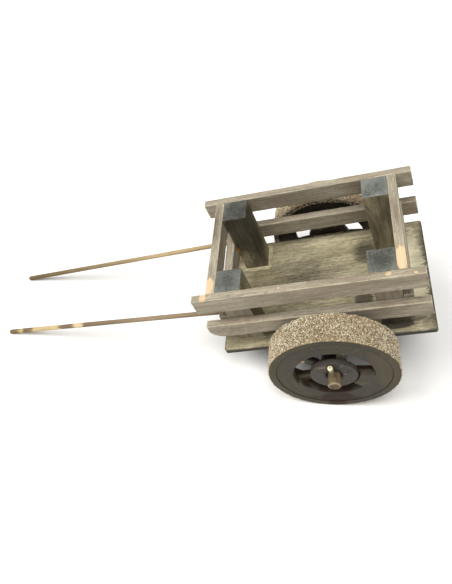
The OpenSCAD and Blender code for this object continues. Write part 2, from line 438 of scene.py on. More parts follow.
def board_finish(timber):
    return timber_material("weathered board", Timber(
        colour=timber.board, light=1.25, dark=0.62, pores=0.5, rub=sight(192, 182, 160), rub_width=1.0,
        rub_ragged=1.8, rubbing=0.6, grime=sight(122, 108, 90), griming=0.55, bare=timber.bare,
        stain=sight(74, 64, 52), scuff=sight(190, 180, 158), scuffing=0.1, relief=0.3,
    ))


def bed_finish(timber):
    return timber_material("bed board", Timber(
        colour=timber.bed, light=1.3, dark=0.56, fineness=0.9, pores=0.75, grime=sight(122, 112, 84),
        griming=0.6, rub=sight(70, 67, 56), rub_width=1.6, rub_ragged=1.6, bare=sight(202, 194, 166),
        stain=sight(60, 56, 46), relief=0.35,
    ))


def bed_edge_finish():
    return timber_material("bed edge paint", Timber(
        colour=sight(66, 64, 58), light=1.5, dark=0.6, rub=sight(120, 112, 92), rub_width=0.5,
        rub_ragged=0.8, grime=sight(46, 44, 40), griming=0.5, rough=0.65,
    ))


def post_finish(timber):
    return timber_material("olive stained post", Timber(
        colour=timber.post, light=1.35, dark=0.62, fineness=0.7, pores=0.3, rub=sight(150, 138, 110),
        rub_width=0.7, rub_ragged=1.1, scuff=sight(140, 134, 112), scuffing=0.15, grime=sight(76, 71, 58),
        griming=0.7, bare=sight(190, 132, 70), stain=sight(54, 51, 42), rough=0.62, relief=0.15,
    ))


def post_top_finish(timber):
    return timber_material("slate painted post top", Timber(
        colour=timber.slate, light=1.35, dark=0.7, fineness=0.6, pores=0.3, rub=sight(128, 120, 100),
        rub_width=0.7, rub_ragged=1.0, scuff=sight(140, 145, 140), scuffing=0.3,
        grime=sight(126, 130, 124), griming=0.7, stain=sight(62, 62, 56), rough=0.55, relief=0.12,
    ))


def wheel_finish(timber):
    return timber_material("dark wheel stain", Timber(
        colour=timber.wheel, light=1.3, dark=0.66, fineness=0.9, pores=0.3, rub=sight(46, 42, 36),
        rub_width=0.5, rub_ragged=0.35, scuff=sight(112, 105, 88), scuffing=0.2, grime=sight(84, 74, 52),
        griming=0.7, bare=sight(208, 190, 150), stain=sight(40, 22, 11), rough=0.58, relief=0.15,
    ))


def hub_finish(timber):
    return timber_material("grey hub stain", Timber(
        colour=timber.hub, light=1.4, dark=0.66, fineness=0.8, pores=0.3, rub=sight(52, 46, 42),
        rub_width=0.7, rub_ragged=0.8, scuff=sight(150, 138, 130), scuffing=0.25, grime=sight(64, 58, 54),
        griming=0.7, bare=sight(128, 112, 104), stain=sight(34, 29, 26), rough=0.5, relief=0.16,
    ))


def axle_finish():
    return timber_material("axle dowel", Timber(
        colour=sight(126, 110, 84), light=1.4, dark=0.45, pores=0.8, rub=sight(150, 136, 108),
        rub_width=0.6, grime=sight(66, 56, 42), griming=0.8, rough=0.7, relief=0.4,
    ))


def block_finish():
    return timber_material("sawn axle block", Timber(
        colour=sight(150, 134, 102), light=1.3, dark=0.65, rub=sight(186, 168, 130), rub_width=1.0,
        grime=sight(92, 80, 60), griming=0.5, rough=0.8, relief=0.3,
    ))


def pin_finish():
    return timber_material("pale linchpin dowel", Timber(
        colour=sight(206, 194, 150), light=1.2, dark=0.75, fineness=1.5, rub=sight(238, 232, 196),
        rub_width=1.2, grime=sight(140, 120, 86), griming=0.55, stain=sight(96, 86, 64), rough=0.6,
    ))


def shaft_finish(name, near, far, bare):
    """A stained dowel whose stain darkens from the cart to the tip. Its grain place starts at the tip."""
    material = timber_material(name, Timber(
        colour=near, light=1.25, dark=0.68, fineness=1.4, grime=shade(near, 0.62), griming=0.4, bare=bare,
        rough=0.55,
    ))
    tree = material.node_tree
    shader = tree.nodes["Principled BSDF"]
    colour = shader.inputs["Base Color"].links[0].from_socket
    along = put(tree, "ShaderNodeSeparateXYZ", Vector=own(tree, "grain").outputs["Vector"]).outputs[0]
    near_tip = sums(tree, "SUBTRACT", 1.0, ease(tree, along, 15.0, 190.0))
    plug(tree, shader, "Base Color", blend(tree, near_tip, colour, far, mode="MULTIPLY"))
    return material


def grit_finish():
    """Sand grains: each grain carries its own tone, from dark to nearly white."""
    material, tree, shader = new_material("sand grit", 0.25)
    tone = own(tree, "tone").outputs["Fac"]
    colour = ladder(tree, tone, [
        (0.0, sight(92, 80, 60)), (0.16, sight(142, 128, 102)), (0.42, sight(184, 171, 144)),
        (0.74, sight(206, 195, 170)), (1.0, sight(244, 238, 220)),
    ])
    place = put(tree, "ShaderNodeTexCoord").outputs["Object"]
    patches = ease(tree, cloud(tree, place, 28.0, 3.0, 0.55), 0.4, 0.65)
    colour = blend(tree, sums(tree, "MULTIPLY", patches, 0.6), colour, sight(228, 212, 198), mode="MULTIPLY")
    plug(tree, shader, "Base Color", colour)
    plug(tree, shader, "Roughness", ease(tree, tone, 0.0, 1.0, 0.9, 0.6))
    emboss(tree, shader, 0.5, 0.1, cloud(tree, place, 2200.0))
    return material


def grit_bed_finish():
    """The dark glue layer that shows between the grains."""
    return timber_material("grit bed", Timber(
        colour=sight(132, 116, 90), light=1.3, dark=0.7, grime=sight(84, 72, 56), griming=0.5, rough=0.85,
    ))


def glue_finish(timber):
    material, tree, shader = new_material("dried glue", 0.5)
    place = put(tree, "ShaderNodeTexCoord").outputs["Object"]
    dust = ease(tree, cloud(tree, place, 180.0, 4.0, 0.6), 0.35, 0.7)
    plug(tree, shader, "Base Color", blend(tree, dust, timber.glue, shade(timber.glue, 0.7)))
    plug(tree, shader, "Roughness", ease(tree, dust, 0.0, 1.0, 0.32, 0.6))
    emboss(tree, shader, 0.4, 0.2, dust)
    return material


# ---------------------------------------------------------------------------
# Mesh building blocks
# ---------------------------------------------------------------------------


@dataclass
class Spot:
    """A place on a piece where something happened to it: a chip, a dent, a worn patch or a stain, or where painted
    shade darkens it.
    """

    centre: Vector
    reach: Vector
    depth: float = 0.0
    bare: float = 1.0
    # The stain strength darkens the piece, for real stains and for painted shade and shadows alike
    stain: float = 0.0

    def strength(self, point):
        """1 at the centre, falling to 0 at the spot's outline."""
        away = Vector((point[axis] - self.centre[axis]) / self.reach[axis] for axis in range(3))
        return max(0.0, 1.0 - away.length)


def ticks(low, high, step, lip):
    """Places along one side of a board: one close to each end, even between."""
    span = high - low - 2 * lip
    count = max(1, round(span / step))
    return [low] + [low + lip + span * number / count for number in range(count + 1)] + [high]


def block_mesh(low, high, step, lip):
    """A closed box with mesh lines at even steps on all six faces."""
    bm = bmesh.new()
    places = [ticks(low[axis], high[axis], step, lip) for axis in range(3)]
    last = [len(place) - 1 for place in places]
    corners = {}

    def corner(axis, side, first, second):
        index = [0, 0, 0]
        index[axis] = side
        index[(axis + 1) % 3] = first
        index[(axis + 2) % 3] = second
        key = tuple(index)
        if key not in corners:
            corners[key] = bm.verts.new([places[a][key[a]] for a in range(3)])
        return corners[key]

    for axis in range(3):
        for side in (0, last[axis]):
            for first in range(last[(axis + 1) % 3]):
                for second in range(last[(axis + 2) % 3]):
                    ring = [corner(axis, side, first, second), corner(axis, side, first + 1, second),
                            corner(axis, side, first + 1, second + 1), corner(axis, side, first, second + 1)]
                    bm.faces.new(ring if side else ring[::-1])
    bm.normal_update()
    return bm


def rub_round(bm, low, high, radius, seed):
    """Rubs a box's edges and corners round, more in some places than in others."""
    for vertex in bm.verts:
        point = vertex.co
        worn = radius * (0.55 + 0.9 * noise.noise(point * 55 + Vector((seed, 0, 0))) ** 2 * 2)
        inner = Vector(min(max(point[a], low[a] + worn), high[a] - worn) for a in range(3))
        away = point - inner
        if sum(1 for part in away if abs(part) > 1e-7) > 1:
            vertex.co = inner + away.normalized() * worn


def dent(bm, low, high, depth, seed):
    """Presses the faces in a little, so that no board is quite flat."""
    middle = (low + high) / 2
    half = (high - low) / 2
    for vertex in bm.verts:
        point = vertex.co.copy()
        slow = noise.noise(Vector((point.x * 30, point.y * 60, point.z * 60)) + Vector((seed, seed, 0)))
        quick = noise.noise(point * 260 + Vector((0, seed, seed)))
        press = depth * (0.5 + 0.35 * slow + 0.3 * quick)
        for axis in range(3):
            away = point[axis] - middle[axis]
            if abs(away) > half[axis] - depth * 2:
                vertex.co[axis] -= math.copysign(max(0.0, press), away)


def strike(bm, spots, middle):
    """Breaks chips out of a piece: each spot pushes the surface in, towards the piece's middle line."""
    for spot in spots:
        if spot.depth:
            towards = Vector((0, middle.y, middle.z)) - Vector((0, spot.centre.y, spot.centre.z))
            towards = towards.normalized()
            for vertex in bm.verts:
                share = spot.strength(vertex.co)
                if share > 0:
                    rough = 0.75 + 0.5 * noise.noise(vertex.co * 700)
                    vertex.co += towards * spot.depth * min(1.0, 2.2 * share) * rough


def sharp_tree(points):
    """Finds how far any point is from the nearest of a piece's sharp edges."""
    tree = KDTree(max(1, len(points)))
    for number, point in enumerate(points):
        tree.insert(point, number)
    tree.balance()
    return tree


def sharp_points(bm, angle=SAWN_CREASE, gap=0.6 * MM):
    """Points every little way along a mesh's sharp edges."""
    points = []
    for edge in bm.edges:
        if len(edge.link_faces) == 2 and edge.calc_face_angle(0) > angle:
            first, second = (vertex.co for vertex in edge.verts)
            count = max(1, round((second - first).length / gap))
            points += [first.lerp(second, number / count) for number in range(count + 1)]
    return points


def turned_grain(point):
    """Grain place on turned wood: the marks of the lathe run round the axis."""
    angle = math.atan2(point.y, point.x)
    radius = math.hypot(point.x, point.y) / MM
    wander = 1.2 * math.cos(2 * angle)
    return Vector((90 * math.cos(angle), radius + wander, point.z / MM + 2.4 * math.sin(angle)))


def new_object(name, data):
    """An object for a mesh, a camera or a light, linked to the scene."""
    piece = bpy.data.objects.new(name, data)
    bpy.context.scene.collection.objects.link(piece)
    return piece


def finish_piece(
    name, bm, materials, place, grain_axis=0, spots=(), sharp=None, seed=0.0, grain_origin=None, turned=False
):
    """Turns a drawn mesh into a piece that carries its own grain place, edge distance, wear and stains, with the
    painted shade that its spots ask for.
    """
    edges = sharp_tree(sharp or [])
    order = [(grain_axis + step) % 3 for step in range(3)]
    shift = Vector((seed * 61.7, seed * 17.3, seed * 29.9))
    origin = grain_origin or Vector()
    carried = {"grain": [], "edge": [], "bare": [], "stain": []}
    for vertex in bm.verts:
        point = vertex.co
        local = turned_grain(point) if turned else (point - origin) / MM
        carried["grain"] += [local[order[a]] + shift[a] for a in range(3)]
        carried["edge"].append(edges.find(point)[2] / MM if sharp else FAR_FROM_EDGE)
        carried["bare"].append(max([spot.strength(point) * spot.bare for spot in spots], default=0.0))
        carried["stain"].append(max([spot.strength(point) * spot.stain for spot in spots], default=0.0))
    mesh = bpy.data.meshes.new(name)
    bmesh.ops.transform(bm, matrix=place, verts=bm.verts)
    bm.normal_update()
    bm.to_mesh(mesh)
    bm.free()
    for label, values in carried.items():
        kind, field = ("FLOAT_VECTOR", "vector") if label == "grain" else ("FLOAT", "value")
        mesh.attributes.new(label, kind, "POINT").data.foreach_set(field, values)
    for material in materials:
        mesh.materials.append(material)
    mesh.shade_smooth()
    mesh.set_sharp_from_angle(angle=SHADING_CREASE)
    return new_object(name, mesh)


def mount_piece(piece, body, slot, *nodes):
    """The piece rides on a body and stands for its CAD nodes, which it hides. The slot is not used."""
    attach(piece, body)
    if nodes:
        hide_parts(*nodes)


def board_piece(node, materials, slot, grain_axis, rows=(), shape=None, seed=0.0):
    """One worn board, drawn in place of the CAD node of the same name."""
    wear = bpy.context.scene.cart_wear
    low, high = level_box(node)
    spots = spots_on(low, high, rows)
    bm = block_mesh(low, high, wear.grain_step, wear.edge_radius * 0.75)
    sharp = sharp_points(bm)
    rub_round(bm, low, high, wear.edge_radius, seed)
    dent(bm, low, high, wear.dents, seed)
    strike(bm, spots, (low + high) / 2)
    if shape:
        shape(bm, sharp, low, high)
    piece = finish_piece(f"{node}_worn", bm, materials, TIP, grain_axis, spots, sharp, seed)
    mount_piece(piece, "cart", slot, node)


def spots_on(low, high, rows):
    """Spots on a box, from rows of place, reach, depth, bareness and stain.

    The place is given as shares of the box, and the reach and the depth in millimetres.
    """
    spots = []
    for share, reach, depth, bare, stain in rows:
        centre = Vector(low[axis] + (high[axis] - low[axis]) * share[axis] for axis in range(3))
        spots.append(Spot(centre, Vector(reach) * MM, depth * MM, bare, stain))
    return spots


def pieces_along(points, step):
    """A profile with extra points, so that no stretch is longer than the step."""
    path = []
    for first, second in zip(points, points[1:]):
        count = max(1, round(math.dist(first, second) / step))
        path += [
            tuple(a + (b - a) * number / count for a, b in zip(first, second)) for number in range(count)
        ]
    return path + [points[-1]]


def ring_points(bm, radius, height, turns):
    """A ring of points round the upright axis. A radius of 0 gives one pole point."""
    if radius < 1e-9:
        return [bm.verts.new((0, 0, height))]
    angles = [2 * math.pi * number / turns for number in range(turns)]
    return [bm.verts.new((radius * math.cos(a), radius * math.sin(a), height)) for a in angles]


def turned_mesh(profile, turns):
    """Turns a profile of (radius, height) points round the upright axis."""
    bm = bmesh.new()
    closed = profile[0] == profile[-1]
    stops = profile[:-1] if closed else profile
    rows = [ring_points(bm, radius, height, turns) for radius, height in stops]
    pairs = list(zip(rows, rows[1:]))
    if closed:
        pairs.append((rows[-1], rows[0]))
    for lower, upper in pairs:
        for number in range(turns):
            after = (number + 1) % turns
            ring = [lower[number % len(lower)], lower[after % len(lower)],
                    upper[after % len(upper)], upper[number % len(upper)]]
            bm.faces.new(list(dict.fromkeys(ring)))
    bmesh.ops.recalc_face_normals(bm, faces=bm.faces)
    return bm


def dowel_mesh(radius, half, bevel, step, turns):
    """A dowel with bevelled ends round the upright axis, with its middle at height 0."""
    profile = [(0.0, -half), (radius - bevel, -half), (radius, bevel - half), (radius, half - bevel),
               (radius - bevel, half), (0.0, half)]
    return turned_mesh(pieces_along(profile, step), turns)


def on_edge(face_y):
    """Stands a round piece, drawn face up at height 0, on edge about the axle with its face to the left."""
    quarter = Matrix.Rotation(math.radians(90), 4, "X")
    return TIP @ Matrix.Translation((AXLE.x, face_y, AXLE.z)) @ quarter


def soften(bm, width):
    """Bevels every sharp edge of a mesh by the same small width."""
    edges = [
        edge for edge in bm.edges if len(edge.link_faces) == 2 and edge.calc_face_angle(0) > SAWN_CREASE
    ]
    bmesh.ops.bevel(
        bm, geom=edges, offset=width, segments=2, affect="EDGES", profile=0.6, clamp_overlap=True
    )


# ---------------------------------------------------------------------------
# The cart
# ---------------------------------------------------------------------------


def timbers():
    return bpy.context.scene.cart_timber


class CART_OT_effects(bpy.types.Operator):
    """Build the shader effects and the board finish that the pieces share"""

    bl_idname = "cart.effects"
    bl_label = "Shared effects"

    def execute(self, context):
        make_grain_effect()
        make_rub_effect()
        make_scuff_effect()
        make_grime_effect()
        board_finish(timbers())
        return {"FINISHED"}


class CART_OT_bed(bpy.types.Operator):
    """Draw the bed board with its round corners and dark painted edge"""

    bl_idname = "cart.bed"
    bl_label = "Bed"

    corner_radius: length_property("Corner radius", "Radius of the bed's corners", 4.0)
    step: length_property("Mesh step", "Distance between the mesh's lines", 2.2)

    # Pale scrapes, a pale rear band that is partly painted light, dark stains, and painted shadows and shade:
    # along the long edges under the lower rails, in the middle of the box and beside the rear posts
    SPOTS = (
        # Pale rear band: bare wood, and partly a painted pool of light where the rear stands in full light
        ((0.93, 0.5, 1), (22, 110, 6), 0, 0.8, 0),
        ((0.6, 0.5, 1), (40, 26, 6), 0, 0.36, 0),
        ((1, 0.5, 1), (10, 140, 6), 0, 0, 1.0),
        # The next two: painted shade along both long edges, under the lower rails
        ((0.6, 0, 1), (170, 4, 6), 0, 0, 0.7),
        ((0.6, 1, 1), (170, 5, 6), 0, 0, 0.7),
        # Painted shadow of the rear right post on the bed, in front of the post
        ((0.71, 0.76, 1), (26, 30, 6), 0, 0, 1.0),
        # The next two: painted shade in the middle of the box, between its boards
        ((0.4, 0.55, 1), (110, 80, 6), 0, 0, 0.66),
        ((0.3, 0.2, 1), (60, 40, 6), 0, 0, 0.7),
        # Painted shadow of the rear left post on the bed
        ((0.685, 0.32, 1), (14, 13, 6), 0, 0, 2.0),
        # Painted shadow under the left lower rail, behind the wheel
        ((0.826, 0.08, 1), (26, 8, 6), 0, 0, 3.0),
        # Painted shade in the middle of the box
        ((0.66, 0.42, 1), (60, 50, 6), 0, 0, 0.5),
    )

    def execute(self, context):
        wear = context.scene.cart_wear
        bm = block_mesh(BED_LOW, BED_HIGH, self.step, wear.edge_radius * 0.75)
        self.round_corners(bm)
        sharp = sharp_points(bm)
        self.rub_rim(bm, wear.edge_radius)
        dent(bm, BED_LOW, BED_HIGH, wear.dents * 0.8, 3.0)
        bm.normal_update()
        for face in bm.faces:
            face.material_index = 1 if self.painted(face) else 0
        finishes = [bed_finish(timbers()), bed_edge_finish()]
        spots = spots_on(BED_LOW, BED_HIGH, self.SPOTS)
        piece = finish_piece("bed_worn", bm, finishes, TIP, 0, spots, sharp, 3.0)
        mount_piece(piece, "cart", "bed_board", "bed")
        return {"FINISHED"}

    def round_corners(self, bm):
        """Pulls the square plan's corners onto arcs."""
        radius = self.corner_radius
        for vertex in bm.verts:
            inner = [min(max(vertex.co[a], BED_LOW[a] + radius), BED_HIGH[a] - radius) for a in range(2)]
            away = [vertex.co[a] - inner[a] for a in range(2)]
            reach = math.hypot(*away)
            if reach > 1e-9:
                share = max(abs(away[0]), abs(away[1])) / reach
                vertex.co.x = inner[0] + away[0] * share
                vertex.co.y = inner[1] + away[1] * share

    def rub_rim(self, bm, radius):
        """Rubs the upper and lower rims round, towards the bed's middle."""
        middle = (BED_LOW + BED_HIGH) / 2
        for vertex in bm.verts:
            if abs(vertex.co.z - middle.z) > (BED_HIGH.z - BED_LOW.z) / 2 - 1e-6:
                inset = min(min(vertex.co[a] - BED_LOW[a], BED_HIGH[a] - vertex.co[a]) for a in range(2))
                if inset < radius * 0.2:
                    vertex.co.z -= math.copysign(radius * 0.4, vertex.co.z - middle.z)

    def painted(self, face):
        """The dark paint covers the bed's sides and underside."""
        return face.normal.z < 0.7


class CART_OT_posts(bpy.types.Operator):
    """Draw the four painted posts"""

    bl_idname = "cart.posts"
    bl_label = "Posts"

    skin: length_property("Skin", "How near a face's middle lies to the side that it belongs to", 0.6)

    # How dark each foot and top is: front left, front right, rear left, rear right. The rear left foot's extra
    # darkness is painted shadow under the lower rail.
    FOOT_STAIN = (0.4, 0.4, 1.6, 0.4)
    TOP_STAIN = (0.62, 1.0, 0.9, 0.0)
    # A painted shadow of the upper rail over the inner side, with two chips, at the front right, and a painted
    # shadow under the lower rail on the outer foot at the rear left
    SPOTS = {
        "post_front_right": (
            ((0.8, 0.1, 0.8), (46, 40, 95), 0, 0, 1.2),
            ((0.0, 0.0, 0.4), (5, 5, 9), 1.2, 1, 0),
            ((0.0, 0.0, 0.47), (3, 3, 5), 0.6, 1, 0),
        ),
        "post_rear_left": (((0.5, 0, 0), (32, 9, 26), 0, 0, 3.0),),
    }

    def execute(self, context):
        board = bpy.data.materials["weathered board"]
        finishes = [post_finish(timbers()), post_top_finish(timbers()), board]
        for number, (end, side) in enumerate((e, s) for e in ("front", "rear") for s in SIDES):
            node = f"post_{end}_{side}"
            rows = [
                ((0.5, 0.5, 0), (24, 24, 26), 0, 0, self.FOOT_STAIN[number]),
                ((0.5, 0.5, 1), (26, 26, 9), 0, 0, self.TOP_STAIN[number]),
            ]
            rows += self.SPOTS.get(node, ())
            board_piece(node, finishes, "slate_painted_posts", 2, rows, self.paint_top, 11.0 + number)
        return {"FINISHED"}

    def paint_top(self, bm, sharp, low, high):
        """The top carries the slate paint. The side behind the rails is bare weathered wood."""
        outwards = math.copysign(1, low.y + high.y)
        outer = max(low.y * outwards, high.y * outwards)
        for face in bm.faces:
            centre = face.calc_center_median()
            if centre.z > high.z - self.skin:
                face.material_index = 1
            elif centre.y * outwards > outer - self.skin:
                face.material_index = 2


class CART_OT_side_rails(bpy.types.Operator):
    """Draw the four side rails, the lower ones with an upswept nose"""

    bl_idname = "cart.side_rails"
    bl_label = "Side rails"

    nose_length: length_property("Nose length", "Length of the upswept nose", 18.0)
    nose_height: length_property("Nose height", "Height of the upswept nose", 12.5)

    def execute(self, context):
        finish = bpy.data.materials["weathered board"]
        for number, side in enumerate(SIDES):
            board_piece(
                f"upper_rail_{side}", [finish], "weathered_boards", 0, self.upper_spots(side),
                seed=21.0 + number,
            )
            board_piece(
                f"lower_rail_{side}", [finish], "weathered_boards", 0, self.lower_spots(),
                shape=self.sweep_nose, seed=31.0 + number,
            )
        return {"FINISHED"}

    def upper_spots(self, side):
        if side == "right":
            return [
                ((0.52, 0.0, 0.7), (14, 3, 2), 0, 0.25, 0),
                ((1.0, 0.0, 0.2), (4, 12, 16), 0, 0, 0.6),
                ((0.0, 0.5, 0.5), (4, 12, 16), 0, 0, 0.5),
            ]
        return [
            ((0.852, 0.62, 1.0), (5, 5, 4), 1.6, 1, 0),
            ((0.395, 0.55, 1.0), (2.2, 2.6, 2), 0.8, 1, 0),
            ((0.958, 0.3, 1.0), (4, 4, 4), 0.9, 0.6, 0),
            ((0.055, 0.5, 1.0), (5.5, 16, 3), 0, 1.0, 0),
            ((1.0, 0.0, 0.6), (5, 12, 12), 0, 0, 0.5),
            ((0.0, 0.5, 0.2), (3, 12, 16), 0, 0, 0.4),
        ]

    def lower_spots(self):
        return [
            ((0.93, 0.3, 1.0), (4, 4, 3), 0.6, 0.4, 0),
            ((1.0, 0.5, 0.4), (4, 12, 16), 0, 0, 0.6),
            ((0.6, 0.5, 0.0), (90, 12, 3), 0, 0, 0.5),
            # Painted shadow over the front part of the rail
            ((0.12, 0.2, 0.5), (60, 12, 20), 0, 0, 0.5),
        ]

    def sweep_nose(self, bm, sharp, low, high):
        """Raises the underside's front end along an arc."""
        length, height = self.nose_length, self.nose_height
        radius = (length ** 2 + height ** 2) / (2 * height)

        def lifted(point):
            into = max(0.0, low.x + length - point.x)
            rise = radius - math.sqrt(max(0.0, radius ** 2 - into ** 2))
            share = (high.z - point.z) / (high.z - low.z)
            return Vector((point.x, point.y, point.z + rise * share))

        for vertex in bm.verts:
            vertex.co = lifted(vertex.co)
        sharp[:] = [lifted(point) for point in sharp]


class CART_OT_cross_boards(bpy.types.Operator):
    """Draw the four cross boards"""

    bl_idname = "cart.cross_boards"
    bl_label = "Cross boards"

    def execute(self, context):
        finish = bpy.data.materials["weathered board"]
        boards = [(level, end) for level in ("upper", "lower") for end in ("front", "rear")]
        for number, (level, end) in enumerate(boards):
            node = f"{level}_board_{end}"
            rows = self.worn_ends(end) if level == "upper" else []
            board_piece(node, [finish], "weathered_boards", 1, rows, seed=41.0 + number)
        return {"FINISHED"}

    def worn_ends(self, end):
        """The top of an upper board is worn to bare wood at its left end."""
        if end == "front":
            return [
                ((0.3, 0.07, 1.0), (8, 17, 4), 0.35, 1.1, 0),
                ((0.2, 0.7, 1.0), (9, 60, 16), 0, 0, 0.6),
            ]
        return [
            ((0.55, 0.1, 1.0), (9, 24, 5), 0.4, 1.1, 0),
            ((0.2, 0.02, 1.0), (5, 12, 5), 0, 0, 0.9),
            ((0.0, 0.1, 0.7), (4, 40, 20), 0, 0, 0.6),
        ]


class CART_OT_shafts(bpy.types.Operator):
    """Draw the two pull shafts"""

    bl_idname = "cart.shafts"
    bl_label = "Pull shafts"

    turns: IntProperty(name="Turns", description="Mesh lines round a shaft", default=20, min=8)
    step: length_property("Mesh step", "Distance between the mesh's rings", 2.5)

    # Bare patches on the left shaft: share of its length, reach in millimetres, strength
    BARE = ((0.82, 33, 1.3), (0.66, 13, 0.9), (0.95, 8, 0.7))

    def execute(self, context):
        finishes = {
            "left": shaft_finish(
                "grey-brown shaft", sight(138, 121, 98), sight(215, 208, 190), sight(226, 206, 168)
            ),
            "right": shaft_finish(
                "ochre shaft", sight(168, 147, 112), sight(168, 160, 148), sight(206, 172, 120)
            ),
        }
        for side in SIDES:
            self.draw_shaft(side, finishes[side])
        return {"FINISHED"}

    def draw_shaft(self, side, finish):
        """A shaft follows its CAD node: the axis of its mount, and the length to its round tip."""
        mount = next(m for m in frame["record"]["mounts"] if m["name"] == f"shaft_{side}_grip")
        axis = Vector(mount["axis"])
        half = mount["dims"]["length_mm"] * MM / 2
        radius = mount["dims"]["r_mm"] * MM
        shoulder = Vector(mount["pos_m"]) - axis * half
        length = 2 * half
        place = Matrix.Translation(shoulder) @ axis.to_track_quat("Z", "Y").to_matrix().to_4x4()
        dome = [
            (radius * math.cos(angle), length + radius * math.sin(angle))
            for angle in (math.pi / 2 * step / 5 for step in range(1, 5))
        ]
        profile = [(0.0, 0.0), (radius, 0.0), (radius, length)] + dome + [(0.0, length + radius)]
        bm = turned_mesh(pieces_along(profile, self.step), self.turns)
        for vertex in bm.verts:
            reach = Vector((vertex.co.x, vertex.co.y, 0))
            if reach.length > radius * 0.5:
                slow = noise.noise(vertex.co * 24 + Vector((0, 0, ord(side[0]))))
                vertex.co -= reach.normalized() * radius * (0.035 + 0.035 * slow)
        tip = Vector((0, 0, length + radius))
        spots = []
        wide = radius * 2.5
        if side == "left":
            spots = [
                Spot(Vector((0, 0, length * share)), Vector((wide, wide, reach * MM)), bare=strength)
                for share, reach, strength in self.BARE
            ]
        piece = finish_piece(f"shaft_{side}_worn", bm, [finish], place, 2, spots, [tip], 0.0, tip)
        self.measure_from_tip(piece.data)
        mount_piece(piece, "cart", "dowel_shafts", f"shaft_{side}")

    def measure_from_tip(self, mesh):
        """Makes the grain's first number count up from the tip."""
        for entry in mesh.attributes["grain"].data:
            along, first, second = entry.vector
            entry.vector = (-along, first, second)


class CART_OT_axle(bpy.types.Operator):
    """Draw the axle and the two blocks that hold it under the bed"""

    bl_idname = "cart.axle"
    bl_label = "Axle and blocks"

    turns: IntProperty(name="Turns", description="Mesh lines round the axle", default=48, min=12)
    step: length_property("Mesh step", "Distance between the mesh's rings", 1.8)
    bevel: length_property("Bevel", "Rubbed rim at each end of the axle", 0.9)

    def execute(self, context):
        low, high = level_box("axle")
        radius = (high.z - low.z) / 2
        half = (high.y - low.y) / 2
        bm = dowel_mesh(radius, half, self.bevel, self.step, self.turns)
        sharp = sharp_points(bm, TURNED_CREASE)
        for vertex in bm.verts:
            reach = Vector((vertex.co.x, vertex.co.y, 0))
            if reach.length > radius * 0.5:
                point = vertex.co
                fine = noise.noise(Vector((point.x * 700, point.y * 700, point.z * 260)))
                pits = 1 + noise.noise(point * 160) + 1.2 * fine
                vertex.co -= reach.normalized() * 0.2 * MM * max(0.0, pits)
        piece = finish_piece("axle_worn", bm, [axle_finish()], on_edge(0), 2, (), sharp, 5.0)
        mount_piece(piece, "cart", "axle_dowel", "axle")
        finish = block_finish()
        for number, side in enumerate(SIDES):
            board_piece(f"axle_block_{side}", [finish], "axle_blocks", 0, seed=51.0 + number)
        return {"FINISHED"}


